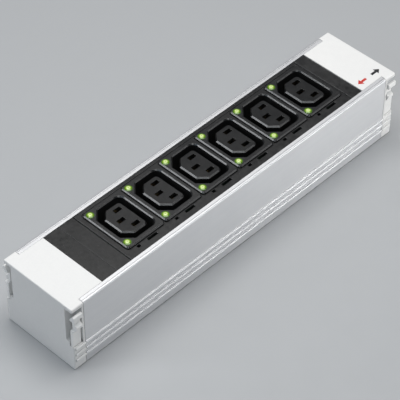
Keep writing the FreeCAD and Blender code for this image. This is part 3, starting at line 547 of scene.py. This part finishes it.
@dataclass(frozen=True)
class LitLens(Finish):
    """Green lens with a darker spot over its lamp, a bright ring of lamp glow and painted highlight, and a
    dark rim.
    """

    spot: Colour = (0.36, 0.58, 0.08, 1.0)
    highlight_ring: Colour = (0.92, 1.0, 0.52, 1.0)
    glow: Colour = (0.36, 0.54, 0.06, 1.0)
    rim: Colour = (0.07, 0.16, 0.006, 1.0)
    highlight_ring_limits: Pair = (0.04, 0.24)
    glow_limits: Pair = (0.36, 0.62)
    rim_limits: Pair = (0.62, 0.84)
    blotches: float = 900.0
    blotch_share: float = 0.16
    soak: float = 0.5
    strength: float = 0.22
    film: float = 2600.0
    film_limits: Pair = (0.3, 0.7)
    roughness: Pair = (0.10, 0.22)

    def shade(self, coat: Coat) -> None:
        """Adds the lens's nodes.

        Args:
            coat: The material's nodes.
        """
        sheet = coat.sheet
        ring = sheet.add("ShaderNodeAttribute", attribute_name=RING_LAYER).outputs["Fac"]
        inner = sheet.math("ADD", ring, -self.blotch_share / 2)
        uneven = sheet.math("MULTIPLY_ADD", sheet.noise(coat.place, self.blotches), self.blotch_share, inner)
        # The bright ring is the lamp's own glow with a painted highlight in it.
        colour = sheet.mix(sheet.remap(uneven, self.highlight_ring_limits, RISE), self.spot, self.highlight_ring)
        colour = sheet.mix(sheet.remap(uneven, self.glow_limits, RISE), colour, self.glow)
        colour = sheet.mix(sheet.remap(uneven, self.rim_limits, RISE), colour, self.rim)
        coat.feed("Base Color", sheet.mix(self.soak, colour, self.rim))
        coat.feed("Emission Color", colour)
        coat.feed("Emission Strength", self.strength)
        film = sheet.noise(coat.place, self.film)
        coat.feed("Roughness", sheet.remap(film, self.film_limits, self.roughness))


@dataclass(frozen=True)
class PrintedInk(Finish):
    """Pad printed ink with an uneven film."""

    colour: Colour
    thin_colour: Colour
    film: float = 2400.0
    film_depth: float = 0.006 * MM
    colour_limits: Pair = (0.42, 0.60)
    rough_limits: Pair = (0.3, 0.7)
    roughness: Pair = (0.48, 0.34)

    def shade(self, coat: Coat) -> None:
        """Adds the ink's nodes.

        Args:
            coat: The material's nodes.
        """
        sheet = coat.sheet
        film = sheet.noise(coat.place, self.film, detail=3.0)
        flat = sheet.add("ShaderNodeNewGeometry").outputs["Normal"]
        colour = sheet.mix(sheet.remap(film, self.colour_limits, RISE), self.thin_colour, self.colour)
        coat.feed("Base Color", colour)
        coat.feed("Roughness", sheet.remap(film, self.rough_limits, self.roughness))
        coat.feed("Normal", sheet.bump(film, self.film_depth, flat))


@dataclass(frozen=True)
class BoardLaminate(Finish):
    """Green circuit laminate with paler tracks under its lacquer."""

    colour: Colour = (0.010, 0.085, 0.030, 1.0)
    track: Colour = (0.035, 0.19, 0.06, 1.0)
    track_scale: float = 260.0
    track_limits: Pair = (0.40, 0.44)
    track_depth: float = 0.02 * MM
    weave: float = 3800.0
    weave_limits: Pair = (0.4, 0.8)
    weave_range: Pair = (0.0, 0.3)
    rough_limits: Pair = (0.3, 0.7)
    roughness: Pair = (0.24, 0.38)
    edge: float = 0.12 * MM

    def shade(self, coat: Coat) -> None:
        """Adds the laminate's nodes.

        Args:
            coat: The material's nodes.
        """
        sheet = coat.sheet
        sockets = {"Vector": coat.place, "Scale": self.track_scale}
        cells = sheet.add("ShaderNodeTexVoronoi", sockets, distance="CHEBYCHEV").outputs["Distance"]
        tracks = sheet.remap(cells, self.track_limits, RISE)
        weave = sheet.noise(coat.place, self.weave)
        colour = sheet.mix(tracks, self.colour, self.track)
        colour = sheet.mix(sheet.remap(weave, self.weave_limits, self.weave_range), colour, self.track)
        edge = coat.effect(Effect.SOFT_EDGE, Radius=self.edge)
        coat.feed("Base Color", colour)
        coat.feed("Roughness", sheet.remap(weave, self.rough_limits, self.roughness))
        coat.feed("Normal", sheet.bump(tracks, self.track_depth, edge.outputs["Normal"]))


@dataclass(frozen=True)
class PaleGround(Finish):
    """Plain pale studio floor."""

    colour: Colour = (0.425, 0.435, 0.445, 1.0)
    shade_colour: Colour = (0.37, 0.378, 0.387, 1.0)
    paper: float = 60.0
    paper_limits: Pair = (0.3, 0.7)
    shade_range: Pair = (0.0, 0.06)
    roughness: Pair = (0.62, 0.7)

    def shade(self, coat: Coat) -> None:
        """Adds the floor's nodes.

        Args:
            coat: The material's nodes.
        """
        sheet = coat.sheet
        paper = sheet.noise(coat.place, self.paper, detail=4.0)
        share = sheet.remap(paper, self.paper_limits, self.shade_range)
        coat.feed("Base Color", sheet.mix(share, self.colour, self.shade_colour))
        coat.feed("Roughness", sheet.remap(paper, self.paper_limits, self.roughness))


ANODISED = DrawnMetal(
    "matt_anodised_aluminium", (0.78, 0.783, 0.792, 1.0), (0.742, 0.747, 0.761, 1.0), (0.54, 0.62),
    line_depth=0.0014 * MM, edge_shine=0.02, groove_shade=0.8,
)
BRASS = DrawnMetal("rolled_brass", (0.80, 0.60, 0.28, 1.0), (0.62, 0.43, 0.18, 1.0), (0.22, 0.34))
ZINC = DrawnMetal("zinc_plated_steel", (0.66, 0.67, 0.69, 1.0), (0.50, 0.51, 0.53, 1.0), (0.24, 0.38))
PALE_CAP = MouldedPlastic(
    "pale_grey_plastic", (0.80, 0.795, 0.78, 1.0), (0.765, 0.761, 0.75, 1.0), (0.84, 0.835, 0.82, 1.0),
    edge_wear_and_highlight=0.25, pocket_shade=0.45,
)
# The caps' pale plastic painted lighter, standing in for the light on the latches, with less painted pocket
# shade.
PALE_LATCH_PAINTED_LIGHTER = MouldedPlastic(
    "pale_plastic_painted_lighter", (0.88, 0.875, 0.86, 1.0), (0.84, 0.836, 0.82, 1.0), (0.92, 0.915, 0.90, 1.0),
    edge_wear_and_highlight=0.25, pocket_shade=0.12,
)
BLACK_FASCIA = MouldedPlastic(
    "black_fascia_plastic", (0.019, 0.019, 0.019, 1.0), (0.001, 0.001, 0.001, 1.0), (0.11, 0.11, 0.115, 1.0),
    roughness=(0.38, 0.58), grain=1500.0, grain_depth=0.044 * MM, edge=0.5 * MM,
    dusty=0.10, polish=0.12, ior=1.52,
)
BLACK_OUTLET = LitBezel(
    "black_outlet_plastic", (0.014, 0.014, 0.014, 1.0), (0.008, 0.008, 0.008, 1.0), (0.16, 0.16, 0.165, 1.0),
    roughness=(0.34, 0.46), grain_depth=0.010 * MM, dusty=0.08, polish=0.18, ior=1.58,
)
BLACK_CORE = MouldedPlastic(
    "black_island_plastic", (0.008, 0.008, 0.008, 1.0), (0.004, 0.004, 0.004, 1.0), (0.18, 0.18, 0.185, 1.0),
    roughness=(0.34, 0.44), dusty=0.08, polish=0.16, ior=1.58,
)
DARK_INSIDE = MouldedPlastic(
    "dark_inner_plastic", (0.045, 0.045, 0.048, 1.0), (0.033, 0.033, 0.036, 1.0), (0.12, 0.12, 0.125, 1.0)
)
LAMP_RESIN = MouldedPlastic(
    "lamp_resin", (0.82, 0.80, 0.58, 1.0), (0.70, 0.67, 0.44, 1.0), (0.9, 0.88, 0.7, 1.0),
    roughness=(0.12, 0.24),
)
LAMINATE = BoardLaminate("green_laminate")
LENS_GREEN = LitLens("lit_green_lens")
INK_BLACK = PrintedInk("black_ink", (0.012, 0.012, 0.013, 1.0), (0.04, 0.04, 0.042, 1.0))
INK_RED = PrintedInk("red_ink", (0.50, 0.026, 0.018, 1.0), (0.57, 0.06, 0.045, 1.0))
FLOOR_PAPER = PaleGround("pale_floor")


@dataclass
class PaintShop:
    """Keeps one material for each finish and puts it on pieces."""

    effects: Effects = field(default_factory=Effects)
    made: dict[Finish, bpy.types.Material] = field(default_factory=dict)

    def paint(self, piece: bpy.types.Object, finish: Finish) -> None:
        """Gives every slot of a piece one finish.

        Args:
            piece: The mesh object.
            finish: Its finish.
        """
        if finish not in self.made:
            self.made[finish] = finish.material(self.effects)
        if not piece.material_slots:
            piece.data.materials.append(self.made[finish])
        for slot in piece.material_slots:
            slot.material = self.made[finish]


@dataclass
class SubAssembly:
    """Pieces on one body that are made and dressed together."""

    shop: PaintShop
    body: str = "module"

    def keep(self, node: str, finish: Finish) -> None:
        """Dresses a CAD node that keeps its shape."""
        self.shop.paint(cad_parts[node], finish)
        LOG.info("kept %s in %s", node, finish.title)

    def add(self, name: str, mesh: bpy.types.Mesh, finish: Finish) -> bpy.types.Object:
        """Makes a new piece that rides on the sub-assembly's body.

        Args:
            name: The piece's name.
            mesh: Its mesh, in place.
            finish: Its finish.

        Returns:
            The new object.
        """
        mesh.polygons.foreach_set("use_smooth", [True] * len(mesh.polygons))
        mesh.set_sharp_from_angle(angle=math.radians(SMOOTH_DEGREES))
        piece = bpy.data.objects.new(name, mesh)
        bpy.context.scene.collection.objects.link(piece)
        self.shop.paint(piece, finish)
        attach(piece, self.body)
        LOG.info("made %s in %s", name, finish.title)
        return piece


def mesh_from(shape: bmesh.types.BMesh, name: str) -> bpy.types.Mesh:
    """Merges doubles, turns the faces outwards and makes the mesh.

    Args:
        shape: The finished shape, which is freed.
        name: The mesh's name.

    Returns:
        The new mesh.
    """
    bmesh.ops.remove_doubles(shape, verts=shape.verts[:], dist=MERGE_GAP)
    bmesh.ops.recalc_face_normals(shape, faces=shape.faces[:])
    mesh = bpy.data.meshes.new(name)
    shape.to_mesh(mesh)
    shape.free()
    return mesh


@dataclass
class Channel(SubAssembly):
    """Extruded channel with its beaded walls."""

    def dress(self) -> None:
        """Gives the channel its anodised finish."""
        self.keep("housing_profile", ANODISED)


@dataclass
class Fascia(SubAssembly):
    """Black outlet carrier and the two blanking covers."""

    def dress(self) -> None:
        """Gives the three plates their black finish."""
        for node in ("outlet_carrier", "blank_cover_feed", "blank_cover_tail"):
            self.keep(node, BLACK_FASCIA)


@dataclass
class Outlets(SubAssembly):
    """Outlet housings and their islands."""

    def dress(self) -> None:
        """Gives housings and islands their black finishes."""
        for number in OUTLET_NUMBERS:
            self.keep(f"outlet_housing_{number}", BLACK_OUTLET)
            self.keep(f"outlet_core_{number}", BLACK_CORE)


@dataclass
class StatusLights(SubAssembly):
    """Pairs of domed lenses that stand for the plain CAD ones."""

    stem: float = 1.5 * MM
    dome: float = 0.5 * MM
    head_edge: float = 0.2 * MM
    collar: float = 1.85 * MM
    collar_top: float = 5.0 * MM
    collar_thick: float = 0.8 * MM
    arc_steps: int = 8
    round_steps: int = 48
    profile_margin: float = 1.01

    def lens(self, shape: bmesh.types.BMesh, centre: Vector, head: float, low: float) -> None:
        """Spins one lens about its own axis.

        Args:
            shape: The pair's shape, which takes the lens.
            centre: Top of the dome.
            head: Radius of the head.
            low: Height of the lens's underside.
        """
        ball = (head**2 + self.dome**2) / (2 * self.dome)
        top = shape.verts.new(centre)
        middle = centre - Vector((0, 0, ball))
        arc = bmesh.ops.spin(
            shape, geom=[top], cent=middle, axis=(0, 1, 0), angle=math.asin(head / ball),
            steps=self.arc_steps, use_duplicate=False,
        )
        last = next(item for item in arc["geom_last"] if isinstance(item, bmesh.types.BMVert))
        seat = centre.z - self.dome - self.head_edge
        shelf = centre.z - self.collar_top
        under = shelf - self.collar_thick
        steps = [
            (head, seat), (self.stem, seat), (self.stem, shelf), (self.collar, shelf),
            (self.collar, under), (self.stem, under), (self.stem, low), (0.0, low),
        ]
        for reach, height in steps:
            made = bmesh.ops.extrude_vert_indiv(shape, verts=[last])
            last = made["verts"][0]
            last.co = (centre.x + reach, centre.y, height)
        limit = head * self.profile_margin
        profile = [vert for vert in shape.verts if (vert.co.xy - centre.xy).length < limit]
        edges = [edge for edge in shape.edges if all(vert in profile for vert in edge.verts)]
        bmesh.ops.spin(
            shape, geom=profile + edges, cent=centre, axis=(0, 0, 1), angle=math.tau,
            steps=self.round_steps, use_merge=True, use_duplicate=False,
        )

    def build(self) -> None:
        """Makes a pair of lenses for each outlet in the place of the CAD pair."""
        for number in OUTLET_NUMBERS:
            node, name = f"status_lenses_{number}", f"status_lights_{number}"
            low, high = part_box(node)
            middle, head = (low.x + high.x) / 2, (high.x - low.x) / 2
            shape = bmesh.new()
            ring = shape.verts.layers.float.new(RING_LAYER)
            centres = [Vector((middle, y, high.z)) for y in (low.y + head, high.y - head)]
            for centre in centres:
                self.lens(shape, centre, head, low.z)
            for vert in shape.verts:
                vert[ring] = min((vert.co.xy - centre.xy).length for centre in centres) / head
            piece = self.add(name, mesh_from(shape, name), LENS_GREEN)
            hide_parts(node)


@dataclass
class EndCaps(SubAssembly):
    """Pale end mouldings."""

    def dress(self) -> None:
        """Gives both caps their pale finish."""
        for end in ENDS:
            self.keep(f"end_cap_{end}", PALE_CAP)


@dataclass
class Latches(SubAssembly):
    """Four finger latches."""

    def dress(self) -> None:
        """Gives the latches the pale plastic, painted lighter than on the caps."""
        for end in ENDS:
            for side in SIDES:
                self.keep(f"latch_{end}_{side}", PALE_LATCH_PAINTED_LIGHTER)


@dataclass
class ContactRow(SubAssembly):
    """Brass strips, the plug's blades and the mouldings that hold them."""

    def dress(self) -> None:
        """Gives the conductors and their mouldings their finishes."""
        for node in ("live_strip", "neutral_strip", "earth_strip", "plug_blades"):
            self.keep(node, BRASS)
        for node in ("contact_tray", "plug_shroud"):
            self.keep(node, DARK_INSIDE)


@dataclass
class LampBoard(SubAssembly):
    """Board under the carrier with its lamps and feed pins."""

    def dress(self) -> None:
        """Gives the board's pieces their finishes."""
        self.keep("indicator_board", LAMINATE)
        self.keep("indicator_lamps", LAMP_RESIN)
        self.keep("board_feed_pins", ZINC)


@dataclass
class Fasteners(SubAssembly):
    """Screws and the bonding nut."""

    nodes: tuple[str, ...] = (
        "tray_screws", "board_screws", "cap_screws", "shroud_screws", "earth_bond_screw", "earth_bond_nut",
    )

    def dress(self) -> None:
        """Gives the fasteners their plated finish."""
        for node in self.nodes:
            self.keep(node, ZINC)


@dataclass
class PlateMarks(SubAssembly):
    """Two plain direction arrows on the tail cap's plate."""

    across: float = -17.3 * MM
    length: float = 6.9 * MM
    shaft: float = 1.6 * MM
    head: float = 3.0 * MM
    head_width: float = 4.6 * MM
    film: float = 0.02 * MM
    from_end: dict[Heading, float] = field(
        default_factory=lambda: {Heading.TAIL: 11.1 * MM, Heading.FEED: 15.8 * MM}
    )

    def arrow(self, name: str, heading: Heading, finish: Finish) -> None:
        """Draws out a shaft and flares it to an arrow head.

        Args:
            name: The piece's name.
            heading: Direction that it points in.
            finish: Its ink.
        """
        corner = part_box("end_cap_tail")[1]
        start, way = corner.x - self.from_end[heading], heading.value
        straight = self.length - self.head
        shape = bmesh.new()
        scale = Matrix.Diagonal((straight, self.shaft, 2 * self.film, 1.0))
        centre = Matrix.Translation((start + way * straight / 2, self.across, corner.z))
        bmesh.ops.create_cube(shape, size=1.0, matrix=centre @ scale)
        for reach, width in ((0.0, self.head_width), (self.head, 0.0)):
            ahead = max(shape.faces, key=lambda face: way * face.calc_center_median().x)
            front = bmesh.ops.extrude_discrete_faces(shape, faces=[ahead])["faces"][0]
            bmesh.ops.translate(shape, vec=(way * reach, 0, 0), verts=front.verts[:])
            for vert in front.verts:
                side = math.copysign(width / 2, vert.co.y - self.across)
                vert.co.y = self.across + side
        self.add(name, mesh_from(shape, name), finish)

    def build(self) -> None:
        """Prints both arrows."""
        self.arrow("direction_arrow_tail", Heading.TAIL, INK_BLACK)
        self.arrow("direction_arrow_feed", Heading.FEED, INK_RED)


@dataclass
class SoftBox:
    """One large soft studio light."""

    name: str
    place: Triple
    size: Pair
    power: float
    colour: Triple = (1.0, 1.0, 1.0)
    target: Triple = (0.0, 0.0, 0.02)
    flagged: bool = False

    def build(self, floor: bpy.types.Object) -> None:
        """Hangs the light, turns it to its target and flags it off the floor if need be.

        Args:
            floor: The studio floor.
        """
        lamp = bpy.data.lights.new(self.name, "AREA")
        lamp.shape = "RECTANGLE"
        lamp.size, lamp.size_y = self.size
        lamp.energy = self.power
        lamp.color = self.colour
        light = bpy.data.objects.new(self.name, lamp)
        light.location = self.place
        aim = Vector(self.target) - Vector(self.place)
        light.rotation_euler = aim.to_track_quat("-Z", "Y").to_euler()
        bpy.context.scene.collection.objects.link(light)
        if self.flagged:
            flag = bpy.data.collections.new(f"{self.name}_flag")
            flag.objects.link(floor)
            flag.collection_objects[0].light_linking.link_state = "EXCLUDE"
            light.light_linking.receiver_collection = flag


@dataclass
class Studio:
    """Floor, lights, surrounding light and the camera."""

    shop: PaintShop
    eye: Triple = (-0.5635, -0.53635, 0.798)
    right: Triple = (0.6956, -0.71843, 0.00244)
    forward: Triple = (0.50807, 0.48953, -0.70868)
    lens: float = 176.52
    sensor: float = 36.0
    clip: Pair = (0.01, 20.0)
    floor_half: float = 3.0
    floor_cells: int = 8
    floor_gap: float = 0.2 * MM
    sky: Colour = (0.78, 0.86, 1.0, 1.0)
    sky_strength: float = 0.14
    lights: tuple[SoftBox, ...] = (
        SoftBox("overhead_softbox", (0.09, 0.05, 0.95), (0.85, 0.6), 8.7, (1.0, 0.99, 0.97)),
        SoftBox(
            "side_strip", (0.26, -0.30, 0.024), (0.40, 0.04), 0.6, (1.0, 1.0, 0.98),
            target=(0.26, 0.0, 0.024), flagged=True,
        ),
        SoftBox("edge_strip", (-0.92, 0.63, 0.69), (0.26, 0.40), 2.4, (0.95, 0.97, 1.0)),
        SoftBox("left_band", (-0.93, -0.05, 0.80), (1.2, 0.28), 1.5, (0.72, 0.88, 1.0)),
        SoftBox("front_strip", (-0.61, -0.66, 1.01), (0.40, 0.26), 1.25, (0.95, 0.98, 1.0)),
        SoftBox("right_panel", (0.636, -0.858, 0.62), (0.42, 0.22), 0.5),
    )

    def ground(self) -> bpy.types.Object:
        """Lays the pale floor just under the module.

        Returns:
            The floor.
        """
        shape = bmesh.new()
        cells = self.floor_cells
        bmesh.ops.create_grid(shape, x_segments=cells, y_segments=cells, size=self.floor_half)
        bmesh.ops.translate(shape, vec=(0, 0, -self.floor_gap), verts=shape.verts[:])
        floor = bpy.data.objects.new("floor", mesh_from(shape, "floor"))
        bpy.context.scene.collection.objects.link(floor)
        self.shop.paint(floor, FLOOR_PAPER)
        return floor

    def surround(self) -> None:
        """Sets the even light that comes from all round."""
        world = bpy.data.worlds.new("studio")
        world.use_nodes = True
        background = world.node_tree.nodes["Background"]
        background.inputs["Color"].default_value = self.sky
        background.inputs["Strength"].default_value = self.sky_strength
        bpy.context.scene.world = world

    def camera(self) -> None:
        """Places the camera at the photograph's viewing angle."""
        data = bpy.data.cameras.new("camera")
        data.lens = self.lens
        data.sensor_width = self.sensor
        data.clip_start, data.clip_end = self.clip
        ahead, side = Vector(self.forward).normalized(), Vector(self.right).normalized()
        up = side.cross(ahead).normalized()
        turn = Matrix((side, up, -ahead)).transposed().to_4x4()
        camera = bpy.data.objects.new("camera", data)
        camera.matrix_world = Matrix.Translation(self.eye) @ turn
        bpy.context.scene.collection.objects.link(camera)
        bpy.context.scene.camera = camera

    def build(self) -> None:
        """Sets up the whole studio."""
        floor = self.ground()
        self.surround()
        for light in self.lights:
            light.build(floor)
        self.camera()
        bpy.context.scene.view_settings.view_transform = "Standard"


def main() -> None:
    """Builds the sub-assemblies and the studio in order."""
    logging.basicConfig(level=logging.INFO, format="%(message)s")
    shop = PaintShop()
    for kind in (Channel, Fascia, Outlets, EndCaps, Latches, ContactRow, LampBoard, Fasteners):
        kind(shop).dress()
    for kind in (StatusLights, PlateMarks):
        kind(shop).build()
    Studio(shop).build()


if __name__ == "__main__":
    main()
